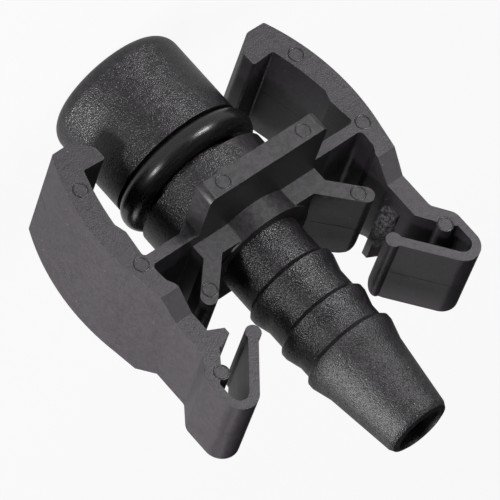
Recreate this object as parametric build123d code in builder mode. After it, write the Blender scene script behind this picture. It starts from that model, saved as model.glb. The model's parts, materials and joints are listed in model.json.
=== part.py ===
"""Quick-connect hose connector: a ringed plug, two squeeze latches and a ridged hose barb.

Millimetres. The tube's axis is +Z. The plug's end face stands at z = 0 and the barb points up.
Latch arms lie on the -X and +X sides; -Y is the front. A place on an arm is written (out, along),
from the hinge in its web and from the flange's lower face.
"""
from build123d import *
from math import cos, radians, sin, tan
import os

os.makedirs("parts", exist_ok=True)

# Plug
plug_length = 25.9  # end face to the flange
plug_radius = 10.4
plug_end_round = 2.5
collar_length = 5.8  # between the ring's groove and the flange
plug_wall = 3.4  # round the hollow end
cavity_cone = 3.5
cavity_end_wall = 0.7  # from the hollow's cone to the groove

# Rubber ring and its groove
ring_section = 4.2
ring_stand_out = 0.7  # beyond the plug's wall
ring_round_angle = 160  # the round side that stands out of the groove
ring_flat = 0.4  # pressed off the ring's inner side by the groove
ring_flat_half_width = 1.25
ring_clearance = 0.03
ring_side_clearance = 0.05  # the ring lies against its groove's lower side
groove_width = 5.4

# Flange plate and the round boss behind it
flange_thickness = 3.0
flange_margin = 0.05  # beyond the plug's wall, at the sides
flange_half_height = 17.95
flange_corner_round = 1.0
boss_radius = 8.5
boss_height = 3.3  # beyond the flange

# Neck, barb and flow bore
barb_length = 39.75  # flange's lower face to the mouth
bore_radius = 3.65
neck_radius = 6.4
ridge_radius = 7.07
ridge_places = (12.8, 19.35, 24.85)  # each ridge's crest, along from the flange
ridge_step = 0.7
ridge_flat = 0.75
ridge_taper = 2.3
nose_start = 28.4
nose_start_radius = 6.25
nose_end_radius = 4.8
nose_lip = 0.97  # the mouth's outer edge, eased in two steps
nose_lip_middle = 0.26

# Stop fins on their block
fin_half_depth = 6.9
fin_block_overhang = 0.55
fin_block_height = 3.0
fin_angle = 45.0
fin_thickness = 2.45
fin_tip_gap = 0.3  # inward of the hinge
fin_tip_along = 10.2

# Flexing webs between the flange and the arms
web_thickness = 1.65
web_reach = 4.05  # flange's side to the hinge
web_root_length = 1.8  # hinge to where the root's hollow runs out
hinge_clearance = 0.03
web_low_round = 0.55
web_high_round = 0.75

# Latch arms
arm_half_depth = 9.45
grip_half_depth = 6.8
hook_corner = (4.55, -17.7)
hook_lead = (1.4, -17.75)
hook_nose = (-1.15, -15.4)
hook_tip = (-1.15, -13.2)
hook_notch = (2.5, -13.45)
inner_bow = (3.75, -8.9)
pad_step = (4.45, -4.6)
pad_face = (3.9, -2.9)
arm_crown = (7.92, -3.1)
arm_back = (7.25, 3.8)
arm_shoulder = (6.6, 7.5)
inner_wall = 4.4
inner_step = (4.2, 5.8)
inner_shelf = (3.5, 7.0)
grip_thickness = 2.85
grip_start = 10.7
grip_end = 16.4
hook_lead_round = 1.2
hook_nose_round = 1.0
small_round = 0.4
grip_round = 1.0
loop_start_round = 2.0

# Fins and loops end in a rounded corner at the back
back_corner_round = 3.0
cut_overrun = 0.1

# Trimmed gate stubs left on the arms' inner walls by the moulding
stub_rise = 2.2  # inward of the grip's inner wall
stub_root = 0.2  # into it
stub_width = 3.2  # at its root, along
stub_flat = 1.0  # at its crest, along
right_stub_along = 15.4
right_stub_reach = (-6.8, -0.6, 2.4)  # front end, end of the crest, end of the cut
left_stub_along = 12.8
left_stub_reach = (6.8, 2.6, -4.2)

# U-shaped squeeze loops
loop_out = 8.3
loop_bulge = 2.25  # beyond the grip
loop_start = 19.3
loop_end = 26.15
loop_wall = 1.18
bend_radius = 2.65
bend_inner_radius = 1.38
leg_angle = 39.8
leg_thickness = 1.45
leg_length = 9.25
bead_radius = 1.15
loop_boss_inset = 2.5
loop_boss_along = 19.83
loop_boss_radius = 1.2

# Worked-out places
groove_top = plug_length - collar_length
groove_bottom = groove_top - groove_width
ring_radius = plug_radius + ring_stand_out - ring_section / 2
ring_height = groove_bottom + ring_side_clearance + ring_section / 2
ring_inner_radius = ring_radius - ring_section / 2 + ring_flat
groove_radius = ring_inner_radius - ring_clearance
cavity_radius = plug_radius - plug_wall
cavity_depth = groove_bottom - cavity_end_wall - cavity_cone
flange_half_width = plug_radius + flange_margin
flange_top = plug_length + flange_thickness
boss_top = flange_top + boss_height
mouth = plug_length + barb_length
web_low = flange_thickness - web_thickness
web_middle = flange_thickness - web_thickness / 2
hinge_out = flange_half_width + web_reach
fin_tip_out = hinge_out - fin_tip_gap
grip_out = loop_out - loop_bulge
grip_in = grip_out - grip_thickness
loop_boss = (loop_out - loop_boss_inset, loop_boss_along)

# Sketch planes that start at the flange's lower face: (out, along) and (front to back, along)
side_view = Plane(origin=(0, 0, plug_length), x_dir=(1, 0, 0), z_dir=(0, -1, 0))
arm_view = Plane(origin=(hinge_out, 0, plug_length), x_dir=(1, 0, 0), z_dir=(0, -1, 0))
front_view = Plane(origin=(0, 0, plug_length), x_dir=(0, 1, 0), z_dir=(1, 0, 0))


def round_corner(place, radius):
    """Round the corner of the open sketch that lies nearest to a place."""
    fillet(vertices().sort_by_distance(Vector(*place))[0], radius)


def barb_outline():
    """Points (radius, height) up the barb, from the boss to the mouth."""
    points = [(neck_radius, boss_top)]
    for place in ridge_places:
        crest = plug_length + place
        last = place == ridge_places[-1]
        points += [
            (neck_radius, crest - ridge_step),
            (ridge_radius, crest),
            (ridge_radius, crest + ridge_flat),
        ]
        if last:
            points.append((nose_start_radius, plug_length + nose_start))
        else:
            points.append((neck_radius, crest + ridge_flat + ridge_taper))
    nose_slope = (nose_start_radius - nose_end_radius) / (barb_length - nose_start)
    return points + [
        (nose_end_radius + nose_slope * nose_lip, mouth - nose_lip),
        (nose_end_radius - nose_lip_middle, mouth - nose_lip_middle),
        (nose_end_radius - nose_lip, mouth),
    ]


def back_corner(view, half_depth, half_thickness):
    """Waste beyond the rounded back corner of a round-ended plate. The view lies in the plate's middle,
    from the centre of its round end: (front to back, towards the end)."""
    near = half_thickness - back_corner_round
    with BuildPart() as waste:
        with BuildSketch(view):
            with BuildLine():
                corner_arc = RadiusArc(
                    (half_depth - back_corner_round, half_thickness),
                    (half_depth, near),
                    back_corner_round,
                )
                Polyline(
                    corner_arc @ 1,
                    (half_depth + cut_overrun, near),
                    (half_depth + cut_overrun, half_thickness + cut_overrun),
                    (half_depth - back_corner_round, half_thickness + cut_overrun),
                    corner_arc @ 0,
                )
            make_face()
        extrude(amount=half_thickness + cut_overrun, both=True)
    return waste.part


def gate_stub(along, reach):
    """Ridge across the grip's inner wall at +X: full from its front end to its crest's end, then cut down."""
    start, crest_end, cut_end = reach
    with BuildPart() as stub:
        with BuildSketch(arm_view):
            with Locations((grip_in, along)):
                Polygon(
                    (stub_root, -stub_width / 2),
                    (stub_root, stub_width / 2),
                    (-stub_rise, stub_flat / 2),
                    (-stub_rise, -stub_flat / 2),
                    align=None,
                )
        extrude(amount=grip_half_depth, both=True)
        with BuildSketch(Plane.XY.offset(plug_length + along)):
            with Locations((hinge_out + grip_in, 0)):
                Polygon(
                    (stub_root, start),
                    (-stub_rise, start),
                    (-stub_rise, crest_end),
                    (0, cut_end),
                    (stub_root, cut_end),
                    align=None,
                )
        extrude(amount=stub_width, both=True, mode=Mode.INTERSECT)
    return stub.part


# Connector body: plug, collar, flange, fins, webs and barb in one moulding
with BuildPart() as connector_body:
    with BuildSketch(Plane.XZ):
        with BuildLine():
            Polyline(
                (0, 0),
                (plug_radius, 0),
                (plug_radius, groove_bottom),
                (groove_radius, groove_bottom),
                (groove_radius, groove_top),
                (plug_radius, groove_top),
                (plug_radius, plug_length),
                (boss_radius, plug_length),
                (boss_radius, boss_top),
                *barb_outline(),
                (0, mouth),
                close=True,
            )
        make_face()
        round_corner((plug_radius, 0), plug_end_round)
    revolve(axis=Axis.Z)

    with BuildSketch(Plane.XY.offset(plug_length)):
        RectangleRounded(2 * flange_half_width, 2 * flange_half_height, flange_corner_round)
    extrude(amount=flange_thickness)

    fin_tip = Vector(fin_tip_out, fin_tip_along)
    fin_rise = fin_tip_along - flange_thickness
    fin_root = fin_tip - Vector(fin_rise * tan(radians(fin_angle)), fin_rise)
    with BuildSketch(side_view):
        with Locations((0, flange_thickness)):
            Rectangle(
                flange_half_width + fin_block_overhang,
                fin_block_height,
                align=(Align.MIN, Align.MIN),
            )
        SlotCenterPoint((fin_root + fin_tip) / 2, fin_tip, fin_thickness)
        mirror(about=Plane.YZ)
    extrude(amount=fin_half_depth, both=True)
    fin_view = Plane(
        origin=(fin_tip.X, 0, plug_length + fin_tip.Y),
        x_dir=(0, 1, 0),
        z_dir=(cos(radians(fin_angle)), 0, -sin(radians(fin_angle))),
    )
    fin_corner = back_corner(fin_view, fin_half_depth, fin_thickness / 2)
    add(fin_corner, mode=Mode.SUBTRACT)
    add(fin_corner.mirror(Plane.YZ), mode=Mode.SUBTRACT)

    with BuildSketch(side_view):
        with BuildLine():
            hollow = TangentArc(
                (hinge_out - web_root_length, web_low),
                (flange_half_width, 0),
                tangent=(-1, 0),
            )
            Polyline(
                hollow @ 1,
                (0, 0),
                (0, flange_thickness),
                (hinge_out, flange_thickness),
                (hinge_out, web_low),
                hollow @ 0,
            )
        make_face()
        with Locations((hinge_out, web_middle)):
            Circle(web_thickness / 2 + hinge_clearance, mode=Mode.SUBTRACT)
        mirror(about=Plane.YZ)
    extrude(amount=arm_half_depth, both=True)

    with BuildSketch(Plane.XZ):
        with BuildLine():
            Polyline(
                (0, 0),
                (cavity_radius, 0),
                (cavity_radius, cavity_depth),
                (bore_radius, cavity_depth + cavity_cone),
                (bore_radius, mouth),
                (0, mouth),
                close=True,
            )
        make_face()
    revolve(axis=Axis.Z, mode=Mode.SUBTRACT)


# Latch arms: a hook below, a grip and a squeeze loop above, on the outer half of the web
leg_run = Vector(-sin(radians(leg_angle)), -cos(radians(leg_angle)))
leg_side = Vector(-cos(radians(leg_angle)), sin(radians(leg_angle)))
bend_centre = Vector(loop_out - bend_radius, loop_end - bend_radius)
leg_start = bend_centre + leg_side * bend_radius
bead = leg_start - leg_side * (leg_thickness / 2) + leg_run * leg_length
bend_inner_out = loop_out - loop_wall - bend_inner_radius
bend_inner_rise = leg_thickness + bend_inner_radius + (bend_inner_out - leg_start.X) * leg_side.X
bend_inner = Vector(bend_inner_out, leg_start.Y - bend_inner_rise / leg_side.Y)
leg_inner_start = bend_inner + leg_side * bend_inner_radius

# Sketch plane in the middle of the loop's inner leg, from the bead: (front to back, down the leg)
leg_view = Plane(
    origin=(hinge_out + bead.X, 0, plug_length + bead.Y),
    x_dir=(0, 1, 0),
    z_dir=(leg_run.Y, 0, -leg_run.X),
)

with BuildPart() as latch_arm_right:
    with BuildSketch(arm_view):
        with BuildLine():
            ThreePointArc(hook_corner, arm_crown, arm_back)
            Polyline(
                arm_back,
                arm_shoulder,
                (grip_out, grip_start),
                (grip_out, grip_end),
                (loop_out, loop_start),
                (loop_out, bend_centre.Y),
            )
            CenterArc(bend_centre, bend_radius, 0, 180 - leg_angle)
            Line(leg_start, bead + leg_side * (leg_thickness / 2))
            Line(bead + leg_side * (leg_thickness / 2), bead - leg_side * (leg_thickness / 2))
            Line(bead - leg_side * (leg_thickness / 2), leg_inner_start)
            CenterArc(bend_inner, bend_inner_radius, 180 - leg_angle, leg_angle - 180)
            Polyline(
                (loop_out - loop_wall, bend_inner.Y),
                (loop_out - loop_wall, loop_boss[1] + loop_boss_radius),
                loop_boss,
                (grip_in, grip_end),
                (grip_in, grip_start),
                inner_shelf,
                inner_step,
                (inner_wall, flange_thickness),
                (0, flange_thickness),
                (0, web_low),
                (inner_wall, web_low),
                pad_face,
                pad_step,
            )
            ThreePointArc(pad_step, inner_bow, hook_notch)
            Polyline(hook_notch, hook_tip, hook_nose, hook_lead, hook_corner)
        make_face()
        round_corner(hook_corner, small_round)
        round_corner(hook_lead, hook_lead_round)
        round_corner(hook_nose, hook_nose_round)
        round_corner(hook_tip, small_round)
        round_corner(hook_notch, small_round)
        round_corner(pad_step, small_round)
        round_corner(pad_face, small_round)
        round_corner((inner_wall, web_low), web_low_round)
        round_corner((inner_wall, flange_thickness), web_high_round)
        round_corner(inner_step, small_round)
        round_corner(inner_shelf, small_round)
        round_corner((grip_out, grip_start), grip_round)
        round_corner((grip_out, grip_end), grip_round)
        round_corner((loop_out, loop_start), loop_start_round)
        with Locations(bead):
            Circle(bead_radius)
        with Locations(loop_boss):
            Circle(loop_boss_radius)
        with Locations((0, web_middle)):
            Circle(web_thickness / 2)
    extrude(amount=arm_half_depth, both=True)
    with BuildSketch(front_view):
        with BuildLine():
            Polyline(
                (0, hook_corner[1] - 1),
                (arm_half_depth, hook_corner[1] - 1),
                (arm_half_depth, arm_shoulder[1]),
                (grip_half_depth, grip_start),
                (grip_half_depth, loop_end + 1),
                (0, loop_end + 1),
                close=True,
            )
        make_face()
        mirror(about=Plane.YZ)
    extrude(amount=hinge_out + loop_out + 1, mode=Mode.INTERSECT)
    add(back_corner(leg_view, grip_half_depth, bead_radius), mode=Mode.SUBTRACT)

with BuildPart() as latch_arm_left:
    mirror(latch_arm_right.part, about=Plane.YZ)
    add(gate_stub(left_stub_along, left_stub_reach).mirror(Plane.YZ))

with latch_arm_right:
    add(gate_stub(right_stub_along, right_stub_reach))

# Rubber ring in its groove, its inner side pressed flat
with BuildPart() as o_ring:
    with BuildSketch(Plane.XZ):
        with BuildLine():
            outer_arc = CenterArc(
                (ring_radius, ring_height),
                ring_section / 2,
                -ring_round_angle / 2,
                ring_round_angle,
            )
            Polyline(
                outer_arc @ 1,
                (ring_inner_radius, ring_height + ring_flat_half_width),
                (ring_inner_radius, ring_height - ring_flat_half_width),
                outer_arc @ 0,
            )
        make_face()
    revolve(axis=Axis.Z)

connector_body.part.label = "connector_body"
export_step(connector_body.part, "parts/connector_body.step")

latch_arm_right.part.label = "latch_arm_right"
export_step(latch_arm_right.part, "parts/latch_arm_right.step")

latch_arm_left.part.label = "latch_arm_left"
export_step(latch_arm_left.part, "parts/latch_arm_left.step")

o_ring.part.label = "o_ring"
export_step(o_ring.part, "parts/o_ring.step")
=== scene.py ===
"""Looks for a black moulded quick-connect hose connector with a rubber ring.

The CAD solids keep their shapes and get the finishes of moulded nylon and rubber. Small pieces made
here close the flexing webs over their hinges and raise a burr round the mark of each ejector pin,
dark as painted shade.
Lengths are in millimetres until they reach Blender. The latch arms lie on the -X and +X sides, and
-Y is the front.
"""
import bpy
import bmesh
import json
from math import cos, radians, sin
from mathutils import Matrix, Vector


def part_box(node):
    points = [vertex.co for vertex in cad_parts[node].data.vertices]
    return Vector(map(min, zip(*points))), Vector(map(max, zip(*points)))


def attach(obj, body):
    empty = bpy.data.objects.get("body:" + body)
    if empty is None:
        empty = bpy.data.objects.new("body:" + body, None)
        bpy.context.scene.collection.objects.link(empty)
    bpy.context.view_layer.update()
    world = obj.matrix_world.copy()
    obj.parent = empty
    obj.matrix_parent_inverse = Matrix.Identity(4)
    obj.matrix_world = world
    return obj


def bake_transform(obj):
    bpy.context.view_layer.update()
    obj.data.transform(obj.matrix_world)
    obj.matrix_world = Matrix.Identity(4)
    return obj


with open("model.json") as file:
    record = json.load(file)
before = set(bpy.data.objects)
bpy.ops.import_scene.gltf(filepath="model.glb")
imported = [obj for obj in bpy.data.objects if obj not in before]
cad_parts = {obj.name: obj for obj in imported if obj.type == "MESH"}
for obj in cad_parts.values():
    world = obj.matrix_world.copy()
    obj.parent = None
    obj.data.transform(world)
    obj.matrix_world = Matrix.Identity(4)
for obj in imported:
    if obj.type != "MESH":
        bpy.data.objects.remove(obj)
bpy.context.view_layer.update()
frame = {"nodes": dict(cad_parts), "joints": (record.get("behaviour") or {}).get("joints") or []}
nodes = frame["nodes"]

MM = 0.001
SIDES = (("left", -1), ("right", 1))

# Places on the part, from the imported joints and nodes
hinge = next(joint for joint in frame["joints"] if joint["name"] == "latch_right_flex")
hinge_out = hinge["pos_m"][0] / MM
hinge_height = hinge["pos_m"][2] / MM
arm_half_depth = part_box("latch_arm_right")[1].y / MM
top_of_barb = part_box("connector_body")[1].z / MM

# Sizes of the moulding
FLANGE_HEIGHT = 25.9  # the flange's lower face, up from the plug's end
FLANGE_HALF_DEPTH = 17.95
FIN_HALF_DEPTH = 6.9
GRIP_HALF_DEPTH = 6.8
WEB_THICKNESS = 1.65

# Broken edges
EDGE_ROUND = 0.16
EDGE_STEPS = 2
EDGE_ANGLE = 38  # degrees: facets that meet at less than this belong to one curve
FLAT_ANGLE = 0.4  # degrees: facets that meet at less than this belong to one flat face
WELD_REACH = 0.002  # corners of facets that are nearer than this are one

# Tones: linear red, green and blue, and opacity
NYLON_DARK = (0.006, 0.005, 0.006, 1)
NYLON_LIGHT = (0.039, 0.0325, 0.0395, 1)
NYLON_TORN = (0.30, 0.29, 0.31, 1)
PARTING_DARK = (0.006, 0.006, 0.006, 1)
DUST_PALE = (0.22, 0.21, 0.22, 1)
RUBBER_DARK = (0.0075, 0.0075, 0.008, 1)
# RUBBER_LIGHT is the dust's tone, and the painted highlight in the ring's streaks
RUBBER_LIGHT = (0.014, 0.014, 0.015, 1)
FLOOR_WHITE = (0.86, 0.86, 0.86, 1)
GLOW_WHITE = (1, 1, 1, 1)

# Noises of the nylon, in waves or specks to the millimetre
SAND_SCALE = 6.0
GRAIN_SCALE = 1.3
CLOUD_SCALE = 0.42
PIT_SCALE = 3.4
DUST_SCALE = 0.5
SHRED_SCALE = 1.9

# Values between which a noise counts from 0 to 1
SAND_SPAN = (0.30, 0.66)
GRAIN_SPAN = (0.38, 0.62)
CLOUD_SPAN = (0.32, 0.68)
SHRED_SPAN = (0.42, 0.60)

# Distances from a speck's middle between which it ends, as shares of the specks' spacing
PIT_EDGE = (0.1, 0.35)
DUST_EDGE = (0.03, 0.055)
RING_DUST_EDGE = (0.03, 0.08)

# The nylon's tone, from NYLON_DARK at 0 to NYLON_LIGHT at 1
BASE_TONE = 0.1
SAND_TONE = 0.4
GRAIN_TONE = 0.25
GRAIN_TONE_IN_FRONT = 0.4  # more, on faces that look to the front or back
CLOUD_TONE = 0.15
PIT_TONE = 0.3
LINE_STRENGTH = 0.7
DUST_STRENGTH = 0.8

# The nylon's relief: its depth, and shares of it
RELIEF_DEPTH = 0.13
SAND_RELIEF = 0.7
GRAIN_RELIEF = 0.35
PIT_RELIEF = 0.25
BASE_RELIEF = 0.07
FRONT_RELIEF = 0.3
LINE_RELIEF = 0.5  # sunk, not raised
TORN_RELIEF = 5.0

# The nylon's roughness
NYLON_ROUGHNESS = 0.40
GLINT = 0.16  # less, on the coarse grain of the plug and the barb
NOISE_ROUGHNESS = 0.08
NYLON_INDEX = 1.52

# Where the nylon's finish changes
PLUG_REACH = 11.4  # outer limit of the coarse grain on the plug, from the axis
BARB_REACH = 7.7  # and on the barb
REACH_CHANGE = 1.0  # height below the flange over which the one turns into the other
REACH_FADE = 4.0  # square millimetres, because squared reaches are compared
BORE_REACH = 4.2  # the coarse grain's inner limit, outside the bore
BORE_FADE = 3.0  # square millimetres too
NOSE_HEIGHTS = (46.0, 54.0)  # between these the barb's glint fades out
LOOP_HEIGHTS = (46.0, 48.0)  # between these the loop's parting line sets in
ARM_LINE_REACH = 20.0  # an arm's parting line shows inward of this, below the loop
ARM_LINE_FADE = 0.3
LINE_HALF_WIDTHS = (0.03, 0.10)  # of the parting line: in full, and to where it ends
FRONT_FACING = (0.9, 0.98)  # how squarely a face has to look to the front or back
TORN_EDGE = (0.8, 1.1)  # shares of a torn place's reach between which it ends

# The ring's rubber
STREAK_STRETCH = (0.3, 0.3, 5.0)  # drawn out round the ring, close along its axis
STREAK_SCALE = 1.1
STREAK_SPAN = (0.35, 0.7)
RING_DUST_SCALE = 1.3
# the streaks' lighter colour is painted highlight
STREAK_TONE = 0.7
RING_RELIEF_DEPTH = 0.016
RING_ROUGHNESS = 0.20
STREAK_ROUGHNESS = 0.14
RING_DUST_ROUGHNESS = 0.2
RUBBER_INDEX = 1.5

# Where each arm's gate was torn off, and how far the torn place reaches: across, in depth and up
TORN_GATES = {
    "left": ((-16.6, -0.3, 38.9), (1.5, 4.7, 2.0)),
    "right": ((16.5, 1.2, 41.3), (1.4, 1.9, 1.6)),
}


# Shader maths


class Wire:
    """A socket of a node tree that adds Math nodes when it is used in arithmetic."""

    def __init__(self, wiring, socket):
        self.wiring = wiring
        self.socket = socket

    def math(self, operation, *numbers):
        return self.wiring.add("ShaderNodeMath", {"operation": operation}, dict(enumerate(numbers)))

    def __add__(self, other):
        return self.math("ADD", self, other)

    __radd__ = __add__

    def __mul__(self, other):
        return self.math("MULTIPLY", self, other)

    __rmul__ = __mul__

    def __sub__(self, other):
        return self.math("SUBTRACT", self, other)

    def __rsub__(self, other):
        return self.math("SUBTRACT", other, self)

    def __abs__(self):
        return self.math("ABSOLUTE", self)

    def at_least(self, other):
        return self.math("MAXIMUM", self, other)

    def ramp(self, low, high, start=0.0, end=1.0):
        """Smooth step: start below low, end above high."""
        return self.wiring.add(
            "ShaderNodeMapRange",
            {"interpolation_type": "SMOOTHSTEP"},
            {"Value": self, "From Min": low, "From Max": high, "To Min": start, "To Max": end},
        )

    def fade(self, low, high):
        """Smooth step down: 1 below low, 0 above high."""
        return self.ramp(low, high, 1.0, 0.0)


class Wiring:
    """A node tree that is filled by one method."""

    def __init__(self, tree):
        self.tree = tree
        self.tree.nodes.clear()

    def add(self, kind, settings=None, values=None, out=0):
        """Adds a node, makes its settings, then fills its sockets with numbers, colours or wires.

        out names the socket that comes back as a wire. A node without such sockets gives nothing.
        """
        node = self.tree.nodes.new(kind)
        for name, setting in (settings or {}).items():
            setattr(node, name, setting)
        for name, value in (values or {}).items():
            if isinstance(value, Wire):
                self.tree.links.new(value.socket, node.inputs[name])
            else:
                node.inputs[name].default_value = value
        return Wire(self, node.outputs[out]) if node.outputs else None


class Finish(Wiring):
    """A material and its node tree."""

    def __init__(self, name):
        self.material = bpy.data.materials.new(name)
        self.material.use_nodes = True
        super().__init__(self.material.node_tree)

    def blend(self, share, first, second):
        """Colour between two colours or wires. The share is held between 0 and 1."""
        return self.add("ShaderNodeMix", {"data_type": "RGBA"}, {0: share, 6: first, 7: second}, out=2)

    def vectors(self, operation, first, second):
        """Vector Math on a wire and three numbers."""
        return self.add("ShaderNodeVectorMath", {"operation": operation}, {0: first, 1: second})

    def places(self):
        """Object coordinates in millimetres."""
        place = self.add("ShaderNodeTexCoord", out="Object")
        return self.add("ShaderNodeVectorMath", {"operation": "SCALE"}, {0: place, "Scale": 1 / MM})

    def axes(self, vector):
        """The three numbers of a vector."""
        along_x = self.add("ShaderNodeSeparateXYZ", {}, {0: vector})
        return [Wire(self, socket) for socket in along_x.socket.node.outputs]

    def noise(self, place, scale, detail=2.0, roughness=0.5):
        return self.add(
            "ShaderNodeTexNoise",
            {},
            {"Vector": place, "Scale": scale, "Detail": detail, "Roughness": roughness},
        )

    def specks(self, place, scale):
        """Distance to the middle of the nearest speck."""
        return self.add("ShaderNodeTexVoronoi", {"feature": "F1"}, {"Vector": place, "Scale": scale})

    def bump(self, height, depth):
        """Normal bent by a relief. A height of 1 stands for the whole depth, in millimetres."""
        return self.add("ShaderNodeBump", {}, {"Height": height, "Distance": depth * MM, "Strength": 1.0})

    def surface(self, shader):
        """Puts a shader on the surface and gives the material back."""
        self.add("ShaderNodeOutputMaterial", {}, {"Surface": shader})
        return self.material

    def plain_surface(self, colour, roughness, normal, index):
        """Surface of a plastic or rubber that gloss alone makes shiny."""
        shader = self.add(
            "ShaderNodeBsdfPrincipled",
            {},
            {"Base Color": colour, "Roughness": roughness, "Normal": normal, "IOR": index},
        )
        return self.surface(shader)


# Finishes


def tube_mask(x, y, z):
    """1 on the plug and the barb, 0 on the rest and in the flow bore."""
    outer = z.ramp(FLANGE_HEIGHT - REACH_CHANGE, FLANGE_HEIGHT, PLUG_REACH, BARB_REACH)
    reach = x * x + y * y
    within = (outer * outer - reach).ramp(0.0, REACH_FADE)
    outside_bore = reach.ramp(BORE_REACH**2, BORE_REACH**2 + BORE_FADE)
    return within * outside_bore


def parting_line(x, y, z, within):
    """1 on the parting line at mid depth. within keeps an arm's line to its inner side and its loop."""
    line = abs(y).fade(*LINE_HALF_WIDTHS)
    if within is None:
        return line
    inner_side = abs(x).fade(within, within + ARM_LINE_FADE)
    return line * inner_side.at_least(z.ramp(*LOOP_HEIGHTS))


def torn_mask(finish, place, middle, size):
    """1 in the soft-edged oval of the place where a gate was torn off."""
    scaled = finish.vectors("DIVIDE", finish.vectors("SUBTRACT", place, middle), size)
    away = finish.add("ShaderNodeVectorMath", {"operation": "LENGTH"}, {0: scaled}, out="Value")
    return away.fade(*TORN_EDGE)


def moulded_nylon(name, coarse=0.0, paler=0.0, line_within=None, torn=None):
    """Black glass-filled nylon: grain, mottling, dust and a parting line at mid depth.

    coarse, from 0 to 1, deepens the grain of the plug and the barb, makes it glint, and takes the
    grain from the front faces. paler makes the whole lighter as painted light, or darker as painted
    shade where it is below 0. line_within keeps the parting line of a latch arm to its inner side and
    its loop. torn is the middle and the reach of a torn gate.
    """
    f = Finish(name)
    place = f.places()
    x, y, z = f.axes(place)
    facing_depth = f.axes(f.add("ShaderNodeNewGeometry", out="True Normal"))[1]
    facing_front = abs(facing_depth).ramp(*FRONT_FACING)
    sand = f.noise(place, SAND_SCALE, detail=0.0)
    grain = f.noise(place, GRAIN_SCALE, roughness=0.6)
    cloud = f.noise(place, CLOUD_SCALE, detail=3.0, roughness=0.6)
    pits = f.specks(place, PIT_SCALE)
    dust = f.specks(place, DUST_SCALE).fade(*DUST_EDGE)
    parting = parting_line(x, y, z, line_within)
    coarse_tube = tube_mask(x, y, z) * coarse

    grain_share = facing_front * GRAIN_TONE_IN_FRONT + GRAIN_TONE
    tone = sand.ramp(*SAND_SPAN) * SAND_TONE + grain.ramp(*GRAIN_SPAN) * grain_share
    tone = tone + cloud.ramp(*CLOUD_SPAN) * CLOUD_TONE + pits.ramp(*PIT_EDGE, PIT_TONE, 0.0)
    colour = f.blend(tone + (paler + BASE_TONE), NYLON_DARK, NYLON_LIGHT)
    colour = f.blend(parting * LINE_STRENGTH, colour, PARTING_DARK)
    colour = f.blend(dust * DUST_STRENGTH, colour, DUST_PALE)

    glint = coarse_tube * z.ramp(*NOSE_HEIGHTS, GLINT, 0.0)
    roughness = NYLON_ROUGHNESS - glint + (grain + cloud) * NOISE_ROUGHNESS

    relief = facing_front * (FRONT_RELIEF * (1 - coarse)) + coarse_tube + BASE_RELIEF
    height = relief * (sand * SAND_RELIEF + grain * GRAIN_RELIEF + pits * PIT_RELIEF)
    height = height - parting * LINE_RELIEF

    if torn is not None:
        torn_place = torn_mask(f, place, *torn)
        shred = f.noise(place, SHRED_SCALE, detail=5.0, roughness=0.8)
        colour = f.blend(torn_place * shred.ramp(*SHRED_SPAN), colour, NYLON_TORN)
        height = height + torn_place * shred * TORN_RELIEF
    return f.plain_surface(colour, roughness, f.bump(height, RELIEF_DEPTH), NYLON_INDEX)


def ring_rubber(name):
    """Smooth black rubber with streaks round the ring, real in its roughness and relief and lighter in
    its colour as painted streaks of highlight, and a little dust.
    """
    f = Finish(name)
    place = f.places()
    sheen_streaks = f.noise(f.vectors("MULTIPLY", place, STREAK_STRETCH), STREAK_SCALE, detail=3.0)
    dust = f.specks(place, RING_DUST_SCALE).fade(*RING_DUST_EDGE)
    colour = f.blend(sheen_streaks.ramp(*STREAK_SPAN) * STREAK_TONE + dust, RUBBER_DARK, RUBBER_LIGHT)
    roughness = RING_ROUGHNESS + sheen_streaks * STREAK_ROUGHNESS + dust * RING_DUST_ROUGHNESS
    return f.plain_surface(colour, roughness, f.bump(sheen_streaks + dust, RING_RELIEF_DEPTH), RUBBER_INDEX)


# Pieces from the frame


def shade_smooth(piece):
    for face in piece.data.polygons:
        face.use_smooth = True


def finish_node(name, material):
    """Gives a CAD node its finish and smooth shading."""
    node = nodes[name]
    node.data.materials.clear()
    node.data.materials.append(material)
    shade_smooth(node)


def add_modifier(node, name, kind, **settings):
    modifier = node.modifiers.new(name, kind)
    for setting, value in settings.items():
        setattr(modifier, setting, value)


def break_edges(name):
    """Rounds a node's sharp edges a little, once the facets of each flat face are one again."""
    node = nodes[name]
    add_modifier(node, "joined_faces", "WELD", merge_threshold=WELD_REACH * MM)
    flat_limit = radians(FLAT_ANGLE)
    add_modifier(node, "whole_flats", "DECIMATE", decimate_type="DISSOLVE", angle_limit=flat_limit)
    add_modifier(
        node,
        "broken_edges",
        "BEVEL",
        width=EDGE_ROUND * MM,
        segments=EDGE_STEPS,
        limit_method="ANGLE",
        angle_limit=radians(EDGE_ANGLE),
        use_clamp_overlap=True,
        miter_outer="MITER_ARC",
    )
    add_modifier(node, "even_shading", "WEIGHTED_NORMAL", keep_sharp=False)


# Pieces made here


def piece_from_rings(name, rings, closed, material):
    """Piece whose faces join each ring of points to the next.

    The last ring joins the first one when closed, and otherwise a face caps each end.
    """
    mesh = bmesh.new()
    rows = [[mesh.verts.new(point * MM) for point in ring] for ring in rings]
    pairs = list(zip(rows, rows[1:]))
    if closed:
        pairs.append((rows[-1], rows[0]))
    for first, second in pairs:
        for step in range(len(first)):
            after = (step + 1) % len(first)
            mesh.faces.new((first[step], first[after], second[after], second[step]))
    if not closed:
        mesh.faces.new(rows[0][::-1])
        mesh.faces.new(rows[-1])
    bmesh.ops.recalc_face_normals(mesh, faces=mesh.faces)
    data = bpy.data.meshes.new(name)
    mesh.to_mesh(data)
    mesh.free()
    data.materials.append(material)
    piece = bpy.data.objects.new(name, data)
    bpy.context.scene.collection.objects.link(piece)
    return piece


# Sleeves that close the webs over their hinges
SKIN_HALF_LENGTH = 1.35
SKIN_PROUD = 0.02  # above the web in the sleeve's middle, and as much below it at its ends
SKIN_STEPS = 16


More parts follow.
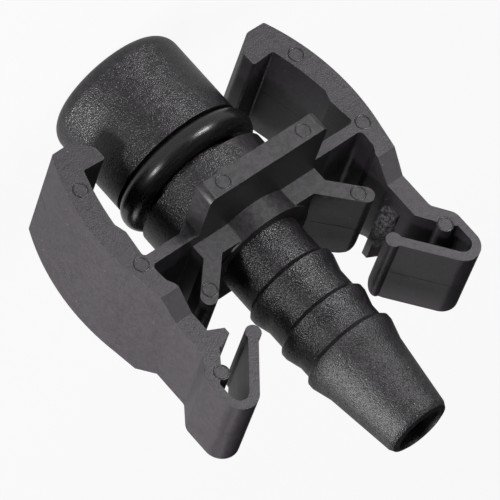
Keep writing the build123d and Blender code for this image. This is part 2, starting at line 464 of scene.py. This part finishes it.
def web_skin(name, side, material):
    """Thin sleeve of the web's own section over one hinge. side is -1 or 1."""
    rings = []
    for step in range(SKIN_STEPS + 1):
        along = -1 + 2 * step / SKIN_STEPS
        lift = SKIN_PROUD * (1 - 2 * abs(along) ** 6)
        out = side * (hinge_out + along * SKIN_HALF_LENGTH)
        high = WEB_THICKNESS / 2 + lift
        wide = arm_half_depth + lift
        corners = ((-wide, -high), (wide, -high), (wide, high), (-wide, high))
        rings.append([Vector((out, depth, hinge_height + height)) for depth, height in corners])
    skin = piece_from_rings(name, rings, False, material)
    start = Vector((side * (hinge_out - SKIN_HALF_LENGTH), 0, hinge_height)) * MM
    end = Vector((side * (hinge_out + SKIN_HALF_LENGTH), 0, hinge_height)) * MM
    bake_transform(skin)


# Burrs round the marks of ejector pins, dark as painted shade
MARK_RADIUS = 1.05
BURR_WIDTH = 0.22
BURR_RISE = 0.045
MARK_TURNS = 40
BURR_TURNS = 8

# Name, out from the axis, up from the flange's lower face, and the moulding's half depth there
ARM_MARKS = (
    ("hook_mark", 19.38, -11.27, arm_half_depth),
    ("middle_mark", 19.96, 2.12, arm_half_depth),
    ("loop_mark", 20.30, 19.83, GRIP_HALF_DEPTH),
)
BODY_MARKS = (
    ("fin_mark", 13.42, 9.42, FIN_HALF_DEPTH),
    ("flange_mark", 7.14, 1.5, FLANGE_HALF_DEPTH),
)


def pin_mark(name, body, middle, material):
    """Low round burr, half sunk in a front face, round the mark of an ejector pin."""
    rings = []
    for turn in range(MARK_TURNS):
        angle = radians(360 * turn / MARK_TURNS)
        outward = Vector((cos(angle), 0, sin(angle)))
        ring = []
        for step in range(BURR_TURNS):
            swing = radians(360 * step / BURR_TURNS)
            reach = outward * (MARK_RADIUS + BURR_WIDTH / 2 * cos(swing))
            rise = Vector((0, -BURR_RISE * sin(swing), 0))
            ring.append(middle + reach + rise)
        rings.append(ring)
    mark = piece_from_rings(name, rings, True, material)
    shade_smooth(mark)
    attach(mark, body)


# The dressed part

# The body's nylon is made darker than the arms' nylon: painted shade.
finish_node("connector_body", moulded_nylon("grained_black_nylon", coarse=0.8, paler=-0.35))
break_edges("connector_body")
arm_nylons = {}
# The arms' nylon is made paler: painted light.
for side_name, torn_gate in TORN_GATES.items():
    arm_nylons[side_name] = moulded_nylon(
        f"{side_name}_arm_black_nylon",
        paler=0.15,
        line_within=ARM_LINE_REACH,
        torn=torn_gate,
    )
    finish_node(f"latch_arm_{side_name}", arm_nylons[side_name])
    break_edges(f"latch_arm_{side_name}")
finish_node("o_ring", ring_rubber("black_ring_rubber"))

for side_name, side in SIDES:
    web_skin(f"web_skin_{side_name}", side, arm_nylons[side_name])

# The burrs take the ring's dark rubber: painted shade of the recess round each pin mark.
painted_shade_burr = ring_rubber("painted_shade_burr")
for side_name, side in SIDES:
    for body, marks in ((f"latch_{side_name}", ARM_MARKS), ("connector", BODY_MARKS)):
        for mark_name, out, above, half_depth in marks:
            middle = Vector((side * out, -half_depth, FLANGE_HEIGHT + above))
            pin_mark(f"{mark_name}_{side_name}", body, middle, painted_shade_burr)


# Floor, light and camera

# The photograph's view of the standing part. Its angles are in degrees
VIEW_AZIMUTH = 29.21
VIEW_ELEVATION = 16.36
VIEW_ROLL = 138.03
VIEW_DISTANCE = 756.8  # from the place that the camera looks at
VIEW_SIDE_STEP = (2.77, -4.39)  # to it from the flange's middle, along the picture's right and up
LENS = 403.2
SENSOR_WIDTH = 36
NEAREST_SEEN = 0.05  # metres
FARTHEST_SEEN = 20  # metres

FLOOR_SIZE = 12  # metres
FLOOR_GLOW = 0.92  # share of plain white where the floor is seen
FLOOR_IN_GLOSS = 0.37  # part of that share where it is mirrored
WORLD_STRENGTH = 0.035
LAMP_DISTANCE = 500

# Name, azimuth and elevation in degrees, width and height, and power in watts
SOFTBOXES = (
    ("side_softbox", 97, 4, (200, 90), 2.9),
    ("upper_side_softbox", 95, 24, (120, 80), 0.25),
    ("shoulder_softbox", 62, 5, (70, 80), 1.0),
    ("front_softbox", 335, 4, (170, 90), 1.65),
    ("high_front_softbox", 312, 50, (120, 120), 0.45),
    ("back_softbox", 158, 24, (140, 110), 0.14),
)


def direction(azimuth, elevation):
    """Way out from the part. Azimuth runs from the front to +X."""
    turn, rise = radians(azimuth), radians(elevation)
    return Vector((sin(turn) * cos(rise), -cos(turn) * cos(rise), sin(rise)))


def add_camera():
    """Camera of the photograph's view, turned round its own axis by the roll."""
    back = direction(VIEW_AZIMUTH, VIEW_ELEVATION)
    turn, roll = radians(VIEW_AZIMUTH), radians(VIEW_ROLL)
    level = Vector((cos(turn), sin(turn), 0))
    right = level * cos(roll) + back.cross(level) * sin(roll)
    up = back.cross(right)
    target = Vector((0, 0, FLANGE_HEIGHT)) + right * VIEW_SIDE_STEP[0] + up * VIEW_SIDE_STEP[1]
    data = bpy.data.cameras.new("camera")
    data.lens = LENS
    data.sensor_width = SENSOR_WIDTH
    data.clip_start = NEAREST_SEEN
    data.clip_end = FARTHEST_SEEN
    camera = bpy.data.objects.new("camera", data)
    bpy.context.scene.collection.objects.link(camera)
    turned = Matrix((right, up, back)).transposed().to_4x4()
    camera.matrix_world = Matrix.Translation((target + back * VIEW_DISTANCE) * MM) @ turned
    bpy.context.scene.camera = camera


def add_softbox(name, azimuth, elevation, size, power):
    """Light that looks at the middle of the part."""
    data = bpy.data.lights.new(name, "AREA")
    data.shape = "RECTANGLE"
    data.size, data.size_y = size[0] * MM, size[1] * MM
    data.energy = power
    lamp = bpy.data.objects.new(name, data)
    bpy.context.scene.collection.objects.link(lamp)
    middle = Vector((0, 0, top_of_barb / 2)) * MM
    lamp.location = middle + direction(azimuth, elevation) * LAMP_DISTANCE * MM
    aim = middle - lamp.location
    lamp.rotation_mode = "QUATERNION"
    lamp.rotation_quaternion = aim.to_track_quat("-Z", "Y")


def floor_white(name):
    """White that shows as plain white and keeps a faint shadow."""
    f = Finish(name)
    matt = f.add("ShaderNodeBsdfDiffuse", {}, {"Color": FLOOR_WHITE})
    glow = f.add("ShaderNodeEmission", {}, {"Color": GLOW_WHITE, "Strength": 1.0})
    camera = f.add("ShaderNodeLightPath", out="Is Camera Ray")
    glossy = f.add("ShaderNodeLightPath", out="Is Glossy Ray")
    through = f.add("ShaderNodeLightPath", out="Is Transmission Ray")
    seen = camera.at_least(glossy * FLOOR_IN_GLOSS).at_least(through)
    return f.surface(f.add("ShaderNodeMixShader", {}, {0: seen * FLOOR_GLOW, 1: matt, 2: glow}))


def add_floor():
    bpy.ops.mesh.primitive_plane_add(size=FLOOR_SIZE, location=(0, 0, 0))
    floor = bpy.context.object
    floor.name = "floor"
    floor.data.materials.append(floor_white("white_floor"))


def add_world(strength):
    """Pale sky for the camera, and a weak even light for all else."""
    world = bpy.data.worlds.new("studio")
    bpy.context.scene.world = world
    world.use_nodes = True
    studio = Wiring(world.node_tree)
    camera = studio.add("ShaderNodeLightPath", out="Is Camera Ray")
    soft = studio.add("ShaderNodeBackground", {}, {"Strength": strength})
    pale = studio.add("ShaderNodeBackground", {}, {"Strength": 1.0})
    either = studio.add("ShaderNodeMixShader", {}, {0: camera, 1: soft, 2: pale})
    studio.add("ShaderNodeOutputWorld", {}, {"Surface": either})


add_camera()
add_floor()
add_world(WORLD_STRENGTH)
for softbox in SOFTBOXES:
    add_softbox(*softbox)

bpy.context.scene.view_settings.view_transform = "Standard"
